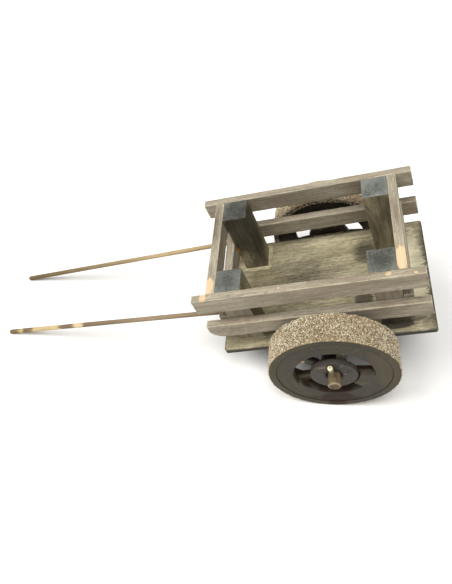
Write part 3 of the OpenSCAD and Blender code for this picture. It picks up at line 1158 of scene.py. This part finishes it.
class CART_OT_wheels(bpy.types.Operator):
    """Draw the wheels: a tyre ring, a disc with sawn openings and a hub plate"""

    bl_idname = "cart.wheels"
    bl_label = "Wheels"

    turns: IntProperty(name="Turns", description="Mesh lines round a wheel", default=192, min=48)
    grit_layer: length_property("Grit layer", "Thickness kept for the grit on the tread", 1.0)
    rim: length_property("Rim", "Width of the bevel on the tyre's rim", 0.8)
    seat_gap: length_property("Seat gap", "Gap between the tyre and the disc", 0.15)
    hub_bore: length_property("Hub bore", "Radius of the worn hole in the hub plate", 9.2)
    sunk_depth: length_property("Sunk depth", "Depth of the disc's sunk middle", 5.4)
    disc_thickness: length_property("Disc thickness", "Thickness of the disc", 12.0)
    window_inner: length_property("Window inner radius", "Radius at which the openings start", 19.0)
    barrel_radius: length_property("Barrel radius", "Radius of the barrel behind the disc", 14.0)
    bore_radius: length_property("Bore radius", "Radius of the hole for the axle", 7.58)
    softening: length_property("Softened edge", "Width of the rounding on the sawn edges", 0.45)

    # Openings sawn by hand: start angle, end angle in degrees, outer radius in millimetres
    WINDOWS = ((-10, 53, 45), (74, 128, 45), (144, 188, 45), (206, 258, 42), (282, 308, 40))

    # The disc's sunk middle, which reaches less far on one side: start angle, end angle, radius
    SUNK = ((0, 195, 46), (195, 308, 42.5), (308, 350, 29), (350, 360, 46))

    # Pale splinters, and dark stains and painted shadow on the disc: angle, radius, reach, strength
    PALE = ((140, 40, 4, 0.9), (66, 44, 5, 1.1), (22, 44, 4, 0.5), (-42, 40, 15, 0.27))
    # The entries from 210 to 300 degrees round the hub plate are partly soot and partly a painted shadow of the
    # plate; the rest are stains
    DARK = (
        (-98, 56, 26, 2.0), (-80, 66, 20, 1.0), (-125, 64, 18, 0.7), (210, 34, 16, 1.8), (245, 34, 16, 1.8),
        (275, 35, 16, 1.8), (300, 33, 9, 1.4), (170, 40, 12, 1.2), (185, 58, 14, 0.4), (90, 20, 18, 0.7),
    )

    def execute(self, context):
        finishes = {
            "wheel": wheel_finish(timbers()), "hub": hub_finish(timbers()), "grit bed": grit_bed_finish(),
        }
        for side in SIDES:
            tyre_low, tyre_high = level_box(f"tyre_{side}")
            radius = (tyre_high.z - tyre_low.z) / 2
            width = tyre_high.y - tyre_low.y
            place = on_edge(tyre_low.y)
            self.draw_tyre(side, place, radius, width, finishes)
            self.draw_disc(side, place, width, finishes["wheel"])
            self.draw_hub(side, place, finishes["hub"])
        return {"FINISHED"}

    def draw_tyre(self, side, place, radius, width, finishes):
        disc_low, disc_high = level_box(f"wheel_disc_{side}")
        inner = (disc_high.z - disc_low.z) / 2 + self.seat_gap
        outer = radius - self.grit_layer
        rim = self.rim
        profile = [(inner, 0.0), (outer - rim, 0.0), (outer, -rim), (outer, rim - width),
                   (outer - rim, -width), (inner, -width), (inner, 0.0)]
        bm = turned_mesh(pieces_along(profile, 2.0 * MM), self.turns)
        sharp = sharp_points(bm)
        for face in bm.faces:
            centre = face.calc_center_median()
            face.material_index = 1 if math.hypot(centre.x, centre.y) > outer - rim * 0.7 else 0
        materials = [finishes["wheel"], finishes["grit bed"]]
        spots = self.face_spots()
        piece = finish_piece(
            f"tyre_{side}_ring", bm, materials, place, 0, spots, sharp, 7.0, turned=True
        )
        mount_piece(piece, f"wheel_{side}", "grit_tread", f"tyre_{side}")

    def at(self, angle, radius, height=0.0):
        """A point of the wheel, by its angle in degrees and its radius and height in millimetres."""
        turn = math.radians(angle)
        return Vector((radius * math.cos(turn), radius * math.sin(turn), height)) * MM

    def face_spots(self):
        """Burnt and worn places on the tyre's side, and painted shade on the ring's inner wall."""
        return [
            Spot(self.at(-98, 68), Vector((15, 13, 5)) * MM, bare=0, stain=1.5),
            Spot(self.at(-60, 72), Vector((9, 6, 5)) * MM, bare=0, stain=0.6),
            Spot(self.at(150, 72), Vector((6, 20, 5)) * MM, bare=0, stain=0.4),
            # Painted shade on the ring's inner wall, away from its outer face
            Spot(self.at(0, 0, -22), Vector((90, 90, 18)) * MM, bare=0, stain=3.0),
        ]

    def in_window(self, degrees, radius):
        return any(
            start < degrees + turn < end and self.window_inner < radius < outer * MM
            for start, end, outer in self.WINDOWS for turn in (-360, 0, 360)
        )

    def draw_disc(self, side, place, width, finish):
        """The disc is drawn as cells of a ring, each with its own front and back; an opening has none."""
        low, high = level_box(f"wheel_disc_{side}")
        outer = (high.z - low.z) / 2
        face = -(width - (high.y - low.y))
        floor = face - self.sunk_depth
        back = face - self.disc_thickness
        marks = sorted({self.bore_radius, self.barrel_radius, self.window_inner, outer}
                       | {cut[2] * MM for cut in self.WINDOWS + self.SUNK})
        radii = [point[0] for point in pieces_along([(mark, 0.0) for mark in marks], 2.2 * MM)]
        even = {round(360 * number / self.turns, 4) for number in range(self.turns)}
        cuts = {angle % 360 for cut in self.WINDOWS + self.SUNK for angle in cut[:2]}
        angles = sorted(angle for angle in even | cuts
                        if angle in cuts or min(abs(angle - cut) for cut in cuts) > 0.5)
        rows = len(angles)

        def surface(column, row):
            """Front and back height of a cell, or None in an opening."""
            if not 0 <= row < len(radii) - 1:
                return None
            first = angles[column % rows]
            second = angles[(column + 1) % rows] + (360 if column % rows == rows - 1 else 0)
            radius = (radii[row] + radii[row + 1]) / 2
            turn = (first + second) / 2
            if self.in_window(turn, radius):
                return None
            sunk = next(reach for start, end, reach in self.SUNK if start <= turn < end)
            top = floor if radius < sunk * MM else face
            bottom = -width if radius < self.barrel_radius else back
            return top, bottom

        bm = bmesh.new()
        points = {}

        def point(column, row, height):
            key = (column % rows, row, round(height, 7))
            if key not in points:
                angle = math.radians(angles[column % rows])
                across, up = radii[row] * math.cos(angle), radii[row] * math.sin(angle)
                points[key] = bm.verts.new((across, up, height))
            return points[key]

        def wall(first, second, heights):
            """A wall of quads between two columns of points, down through the given heights."""
            for upper, lower in zip(heights, heights[1:]):
                bm.faces.new([point(*first, upper), point(*second, upper),
                              point(*second, lower), point(*first, lower)])

        def layers(top, bottom):
            """Heights from top to bottom, with stops where other surfaces may meet the wall."""
            stops = [top, bottom] + [mark for mark in (floor, back) if bottom < mark < top]
            path = pieces_along([(stop,) for stop in sorted(stops, reverse=True)], 2.4 * MM)
            return [entry[0] for entry in path]

        def close(first, second, here, there):
            """Closes the step between two neighbouring cells."""
            if here == there:
                return
            if here is None or there is None:
                wall(first, second, layers(*(here or there)))
                return
            for mine, other in zip(here, there):
                if mine != other:
                    wall(first, second, layers(max(mine, other), min(mine, other)))

        for column in range(rows):
            for row in range(-1, len(radii) - 1):
                here = surface(column, row)
                for height in here or ():
                    bm.faces.new([point(column, row, height), point(column + 1, row, height),
                                  point(column + 1, row + 1, height), point(column, row + 1, height)])
                close((column, row + 1), (column + 1, row + 1), here, surface(column, row + 1))
                if row >= 0:
                    close((column + 1, row), (column + 1, row + 1), here, surface(column + 1, row))
        bmesh.ops.recalc_face_normals(bm, faces=bm.faces)
        sharp = sharp_points(bm)
        soften(bm, self.softening)
        for vertex in bm.verts:
            vertex.co.z += 0.06 * MM * noise.noise(vertex.co * 120)
        spots = self.sawn_spots()
        piece = finish_piece(
            f"wheel_disc_{side}_sawn", bm, [finish], place, 0, spots, sharp, 8.0, turned=True
        )
        mount_piece(piece, f"wheel_{side}", "dark_wheel_wood", f"wheel_disc_{side}")

    def sawn_spots(self):
        """Pale splinters, dark stains and a painted shadow round the hub plate on the disc, and painted shade on
        its back.
        """
        spots = [Spot(self.at(angle, radius, -4), Vector((reach, reach, 6)) * MM, bare=strength)
                 for angle, radius, reach, strength in self.PALE]
        spots += [
            Spot(self.at(angle, radius, -3), Vector((reach, reach * 0.8, 9)) * MM, bare=0, stain=strength)
            for angle, radius, reach, strength in self.DARK
        ]
        # Painted shade on the disc's back, its barrel and deep in its openings
        spots.append(Spot(self.at(0, 0, -24), Vector((300, 300, 18)) * MM, bare=0, stain=5.0))
        return spots

    def draw_hub(self, side, place, finish):
        low, high = level_box(f"hub_plate_{side}")
        radius = (high.z - low.z) / 2
        thickness = high.y - low.y
        bore = self.hub_bore
        profile = [(bore, 0.0), (radius, 0.0), (radius, -thickness), (bore, -thickness), (bore, 0.0)]
        bm = turned_mesh(pieces_along(profile, 1.6 * MM), self.turns // 2)
        sharp = sharp_points(bm)
        soften(bm, self.softening * 1.6)
        for vertex in bm.verts:
            vertex.co.z -= 0.08 * MM * (1 + noise.noise(vertex.co * 180))
        spots = [
            Spot(self.at(118, 21), Vector((11, 5, 4)) * MM, bare=0.45),
            Spot(self.at(0, 0), Vector((15, 15, 9)) * MM, bare=0, stain=1.8),
            Spot(self.at(20, 19), Vector((10, 9, 6)) * MM, bare=0, stain=0.6),
        ]
        piece = finish_piece(
            f"hub_plate_{side}_worn", bm, [finish], place, 0, spots, sharp, 9.0, turned=True
        )
        mount_piece(piece, f"wheel_{side}", "hub_wood", f"hub_plate_{side}")


class CART_OT_grit(bpy.types.Operator):
    """Scatter sand grains over the treads"""

    bl_idname = "cart.grit"
    bl_label = "Tread grit"

    turns: IntProperty(name="Turns", description="Mesh lines round the band under the grains", default=96)
    spill: length_property("Spill", "How far the grit spills over onto the right wheel's inner face", 6.0)

    # Most grains to a square metre
    MOST_GRAINS = 2.2e6

    def execute(self, context):
        grit = context.scene.cart_grit
        tree = self.scatter_tree(grit_finish())
        for number, side in enumerate(SIDES):
            low, high = level_box(f"tyre_{side}")
            radius = (high.z - low.z) / 2 - grit.grain * 1.45
            piece = self.scatter(f"grit_{side}", tree, on_edge(low.y), radius, high.y - low.y, number)
            mount_piece(piece, f"wheel_{side}", "grit_tread")
        return {"FINISHED"}

    def band(self, name, place, radius, width, spill):
        """The open band round the tread that the grains are scattered on. Some spill over onto the face."""
        bm = bmesh.new()
        edge = 0.3 * MM
        stops = [(radius, -edge), (radius, -width / 2), (radius, edge - width)]
        if spill:
            stops.insert(0, (radius - spill, 0.1 * MM))
        rows = [ring_points(bm, *stop, self.turns) for stop in stops]
        for upper, lower in zip(rows, rows[1:]):
            for number in range(self.turns):
                after = (number + 1) % self.turns
                bm.faces.new([upper[number], lower[number], lower[after], upper[after]])
        bmesh.ops.transform(bm, matrix=place, verts=bm.verts)
        mesh = bpy.data.meshes.new(name)
        bm.to_mesh(mesh)
        bm.free()
        return new_object(name, mesh)

    def scatter(self, name, tree, place, radius, width, number):
        """Runs the scatter tree on a band and keeps the grains as a plain mesh."""
        grit = bpy.context.scene.cart_grit
        carrier = self.band(f"{name}_band", place, radius, width, self.spill if number else 0)
        modifier = carrier.modifiers.new("Grit", "NODES")
        modifier.node_group = tree
        wanted = {"Grain Radius": grit.grain, "Spacing": grit.spacing, "Seed": grit.seed + number}
        for item in tree.interface.items_tree:
            if item.item_type == "SOCKET" and item.in_out == "INPUT" and item.name in wanted:
                modifier[item.identifier] = wanted[item.name]
        bpy.context.view_layer.update()
        evaluated = carrier.evaluated_get(bpy.context.evaluated_depsgraph_get())
        mesh = bpy.data.meshes.new_from_object(evaluated)
        mesh.name = name
        bpy.data.objects.remove(carrier)
        return new_object(name, mesh)

    def scatter_tree(self, finish):
        """Geometry nodes: spaced points, and on each a few-sided grain, turned and sized at random."""
        tree = bpy.data.node_groups.new("Scatter grit", "GeometryNodeTree")
        interface = tree.interface
        interface.new_socket(name="Geometry", in_out="INPUT", socket_type="NodeSocketGeometry")
        for label, kind in (("Grain Radius", FLOAT), ("Spacing", FLOAT), ("Seed", "NodeSocketInt")):
            interface.new_socket(name=label, in_out="INPUT", socket_type=kind)
        interface.new_socket(name="Geometry", in_out="OUTPUT", socket_type="NodeSocketGeometry")
        given = tree.nodes.new("NodeGroupInput").outputs
        points = put(tree, "GeometryNodeDistributePointsOnFaces", {"distribute_method": "POISSON"},
                     Mesh=given[0], Distance_Min=given["Spacing"], Density_Max=self.MOST_GRAINS,
                     Seed=given["Seed"])
        grain = put(tree, "GeometryNodeMeshIcoSphere", Radius=given["Grain Radius"], Subdivisions=1)
        turn = self.chance(tree, "FLOAT_VECTOR", (0, 0, 0), (6.28, 6.28, 6.28), given["Seed"])
        size = self.chance(tree, "FLOAT_VECTOR", (0.62, 0.62, 0.62), (1.28, 1.28, 1.28), given["Seed"])
        spread = put(tree, "GeometryNodeInstanceOnPoints", Points=points.outputs["Points"],
                     Instance=grain.outputs["Mesh"], Rotation=turn, Scale=size)
        tone = self.chance(tree, "FLOAT", 0.0, 1.0, given["Seed"])
        toned = put(tree, "GeometryNodeStoreNamedAttribute", {"data_type": "FLOAT", "domain": "INSTANCE"},
                    Geometry=spread.outputs[0], Name="tone", Value=tone)
        real = put(tree, "GeometryNodeRealizeInstances", Geometry=toned.outputs[0])
        painted = put(tree, "GeometryNodeSetMaterial", Geometry=real.outputs[0], Material=finish)
        result = tree.nodes.new("NodeGroupOutput")
        tree.links.new(painted.outputs[0], result.inputs[0])
        return tree

    def chance(self, tree, kind, low, high, seed):
        """A random value for each grain."""
        node = tree.nodes.new("FunctionNodeRandomValue")
        node.data_type = kind
        sockets = [socket for socket in node.inputs if socket.enabled]
        sockets[0].default_value = low
        sockets[1].default_value = high
        tree.links.new(seed, node.inputs["Seed"])
        return next(socket for socket in node.outputs if socket.enabled)


class CART_OT_linchpins(bpy.types.Operator):
    """Draw the two linchpins"""

    bl_idname = "cart.linchpins"
    bl_label = "Linchpins"

    turns: IntProperty(name="Turns", description="Mesh lines round a pin", default=32, min=12)
    step: length_property("Mesh step", "Distance between the mesh's rings", 1.0)
    bevel: length_property("Bevel", "Rubbed rim at each end of a pin", 0.7)

    def execute(self, context):
        finish = pin_finish()
        for number, side in enumerate(SIDES):
            low, high = level_box(f"linchpin_{side}")
            middle = (low + high) / 2
            radius = (high.y - low.y) / 2
            half = (high.z - low.z) / 2
            bm = dowel_mesh(radius, half, self.bevel, self.step, self.turns)
            sharp = sharp_points(bm, TURNED_CREASE)
            for vertex in bm.verts:
                reach = Vector((vertex.co.x, vertex.co.y, 0))
                if reach.length > radius * 0.5:
                    worn = 1 + noise.noise(vertex.co * 300 + Vector((number, 0, 0)))
                    vertex.co -= reach.normalized() * 0.1 * MM * worn
            place = TIP @ Matrix.Translation(middle)
            dull = [Spot(Vector((0, 0, 0.1 * half)), Vector((0.02, 0.02, 0.8 * half)), bare=0, stain=2.0)]
            piece = finish_piece(f"linchpin_{side}_worn", bm, [finish], place, 2, dull, sharp, 12.0 + number)
            mount_piece(piece, f"pin_{side}", "pin_dowel", f"linchpin_{side}")
        return {"FINISHED"}


class CART_OT_glue(bpy.types.Operator):
    """Lay the dried glue round the feet of three posts"""

    bl_idname = "cart.glue"
    bl_label = "Glue beads"

    spread: length_property("Spread", "How far the glue has run out from a post", 1.6)
    lip: length_property("Lip", "Height of the glue's raised rim", 0.8)
    step: length_property("Mesh step", "Distance between the mesh's rings", 1.5)

    # Section of the dried glue: share of the spread outwards, share of the lip upwards
    SECTION = (
        (-0.4, -0.6), (-0.4, 1.5), (0.05, 1.5), (0.25, 0.7),
        (0.6, 0.45), (0.85, 1.0), (1.0, 0.6), (1.05, -0.6),
    )
    # How far the glue has run out of each joint, as a share of the spread. None shows at the rear left.
    AMOUNT = (0.55, 3.4, 0, 0.55)

    def execute(self, context):
        finish = glue_finish(timbers())
        for number, (end, side) in enumerate((e, s) for e in ("front", "rear") for s in SIDES):
            if self.AMOUNT[number]:
                self.lay(f"post_{end}_{side}", finish, self.AMOUNT[number], number)
        return {"FINISHED"}

    def lay(self, node, finish, amount, number):
        """A skirt of glue all round a post's foot, wider in some places than in others."""
        low, high = level_box(node)
        path = []
        corners = ((high.x, high.y), (low.x, high.y), (low.x, low.y), (high.x, low.y))
        for (x, y), start in zip(corners, (0, 90, 180, 270)):
            for step in range(7):
                turn = math.radians(start + 90 * step / 6)
                path.append((Vector((x, y)), Vector((math.cos(turn), math.sin(turn)))))
        bm = bmesh.new()
        rings = []
        for (first, out), (following, _) in zip(path, path[1:] + path[:1]):
            count = max(1, round((following - first).length / self.step))
            for step in range(count):
                foot = first.lerp(following, step / count)
                wander = 0.8 + 0.75 * noise.noise(Vector((foot.x, foot.y, number * 0.1)) * 60)
                reach = self.spread * amount * max(0.35, wander)
                rings.append([
                    bm.verts.new((
                        foot.x + out.x * reach * outwards, foot.y + out.y * reach * outwards,
                        BED_HIGH.z + self.lip * upwards,
                    ))
                    for outwards, upwards in self.SECTION
                ])
        for ring, following in zip(rings, rings[1:] + rings[:1]):
            for step in range(len(ring)):
                after = (step + 1) % len(ring)
                bm.faces.new([ring[step], ring[after], following[after], following[step]])
        bmesh.ops.recalc_face_normals(bm, faces=bm.faces)
        piece = finish_piece(f"glue_{node}", bm, [finish], TIP)
        mount_piece(piece, "cart", "bed_board")


class CART_OT_studio(bpy.types.Operator):
    """Set up the camera, the lights and the floor"""

    bl_idname = "cart.studio"
    bl_label = "Studio"

    # Share of the light from all round that comes from the horizon, and from straight above
    HORIZON = 0.25
    ZENITH = 1.5
    # Where each light shines to, and the colours of the lights, the sky and the floor
    LEFT_LIGHT = (1.0, 0.3, -1.3)
    FRONT_LIGHT = (0.05, 0.42, -1.6)
    LIGHT_COLOUR = (1, 0.985, 0.955)
    SKY_COLOUR = (1, 0.995, 0.98, 1)
    FLOOR_COLOUR = (0.87, 0.865, 0.855, 1)
    FLOOR_HALF_WIDTH = 6.0
    # How far the frame's middle lies off the line of sight, as a share of the sensor's long side
    SENSOR_WIDTH = 36
    LENS_SHIFT = (-0.014, -0.141)

    def execute(self, context):
        scene = context.scene
        studio = scene.cart_studio
        self.add_camera(scene, studio)
        self.add_floor()
        self.add_lights(scene, studio)
        scene.view_settings.view_transform = "Standard"
        return {"FINISHED"}

    def add_camera(self, scene, studio):
        back = Vector((
            math.sin(studio.azimuth) * math.cos(studio.elevation),
            -math.cos(studio.azimuth) * math.cos(studio.elevation),
            math.sin(studio.elevation),
        ))
        turn = (-back).to_track_quat("-Z", "Y").to_matrix() @ Matrix.Rotation(studio.roll, 3, "Z")
        data = bpy.data.cameras.new("camera")
        data.sensor_width = self.SENSOR_WIDTH
        data.lens = studio.focal_length
        data.shift_x, data.shift_y = self.LENS_SHIFT
        camera = new_object("camera", data)
        camera.location = studio.camera_place
        camera.rotation_euler = turn.to_euler()
        scene.camera = camera

    def add_floor(self):
        """A wide pale floor that the wheels and the shaft tips stand on."""
        bm = bmesh.new()
        bmesh.ops.create_grid(bm, x_segments=1, y_segments=1, size=self.FLOOR_HALF_WIDTH)
        mesh = bpy.data.meshes.new("studio_floor")
        bm.to_mesh(mesh)
        bm.free()
        material, _, shader = new_material("pale floor", 0.1)
        shader.inputs["Base Color"].default_value = self.FLOOR_COLOUR
        shader.inputs["Roughness"].default_value = 0.9
        mesh.materials.append(material)
        new_object("studio_floor", mesh)

    def dim_horizon(self, tree, sky, strength):
        """The light from all round is strong from above and weak from the horizon."""
        direction = put(tree, "ShaderNodeTexCoord").outputs["Generated"]
        height = put(tree, "ShaderNodeSeparateXYZ", Vector=direction)
        share = ease(tree, height.outputs["Z"], -0.05, 0.65, self.HORIZON, self.ZENITH)
        tree.links.new(sums(tree, "MULTIPLY", share, strength), sky.inputs["Strength"])

    def whiten_backdrop(self, tree, sky):
        """The camera sees plain white beyond the floor's rim."""
        white = tree.nodes.new("ShaderNodeBackground")
        mix = tree.nodes.new("ShaderNodeMixShader")
        tree.links.new(tree.nodes.new("ShaderNodeLightPath").outputs["Is Camera Ray"], mix.inputs[0])
        tree.links.new(sky.outputs[0], mix.inputs[1])
        tree.links.new(white.outputs[0], mix.inputs[2])
        tree.links.new(mix.outputs[0], tree.nodes["World Output"].inputs["Surface"])
        white.inputs["Color"].default_value = (1, 1, 1, 1)

    def add_lights(self, scene, studio):
        world = bpy.data.worlds.new("studio sky")
        world.use_nodes = True
        sky = world.node_tree.nodes["Background"]
        sky.inputs["Color"].default_value = self.SKY_COLOUR
        self.dim_horizon(world.node_tree, sky, studio.sky)
        self.whiten_backdrop(world.node_tree, sky)
        scene.world = world
        for name, towards, power in (
            ("left light", self.LEFT_LIGHT, studio.left_power),
            ("front light", self.FRONT_LIGHT, studio.front_power),
        ):
            data = bpy.data.lights.new(name, "SUN")
            data.energy = power
            data.angle = studio.softness
            data.color = self.LIGHT_COLOUR
            light = new_object(name, data)
            light.rotation_euler = Vector(towards).to_track_quat("-Z", "Y").to_euler()


OPERATORS = (
    CART_OT_effects, CART_OT_bed, CART_OT_side_rails, CART_OT_cross_boards, CART_OT_posts, CART_OT_shafts,
    CART_OT_axle, CART_OT_wheels, CART_OT_grit, CART_OT_linchpins, CART_OT_glue, CART_OT_studio,
)
GROUPS = {
    "cart_timber": CartTimber, "cart_wear": CartWear, "cart_grit": CartGrit, "cart_studio": CartStudio,
}


class CART_PT_panel(bpy.types.Panel):
    """Lists the cart's pieces and their settings"""

    bl_idname = "CART_PT_panel"
    bl_label = "Mine Cart"
    bl_space_type = "VIEW_3D"
    bl_region_type = "UI"
    bl_category = "Mine Cart"

    def draw(self, context):
        for operator in OPERATORS:
            self.layout.operator(operator.bl_idname)
        for name, group in GROUPS.items():
            box = self.layout.box()
            box.label(text=group.__doc__)
            for setting in group.__annotations__:
                box.prop(getattr(context.scene, name), setting)


def register():
    for name, group in GROUPS.items():
        bpy.utils.register_class(group)
        setattr(bpy.types.Scene, name, PointerProperty(type=group))
    for entry in OPERATORS + (CART_PT_panel,):
        bpy.utils.register_class(entry)


def unregister():
    for entry in reversed(OPERATORS + (CART_PT_panel,)):
        bpy.utils.unregister_class(entry)
    for name, group in GROUPS.items():
        delattr(bpy.types.Scene, name)
        bpy.utils.unregister_class(group)


def main():
    register()
    for operator in OPERATORS:
        family, name = operator.bl_idname.split(".")
        getattr(getattr(bpy.ops, family), name)()


if __name__ == "__main__":
    main()
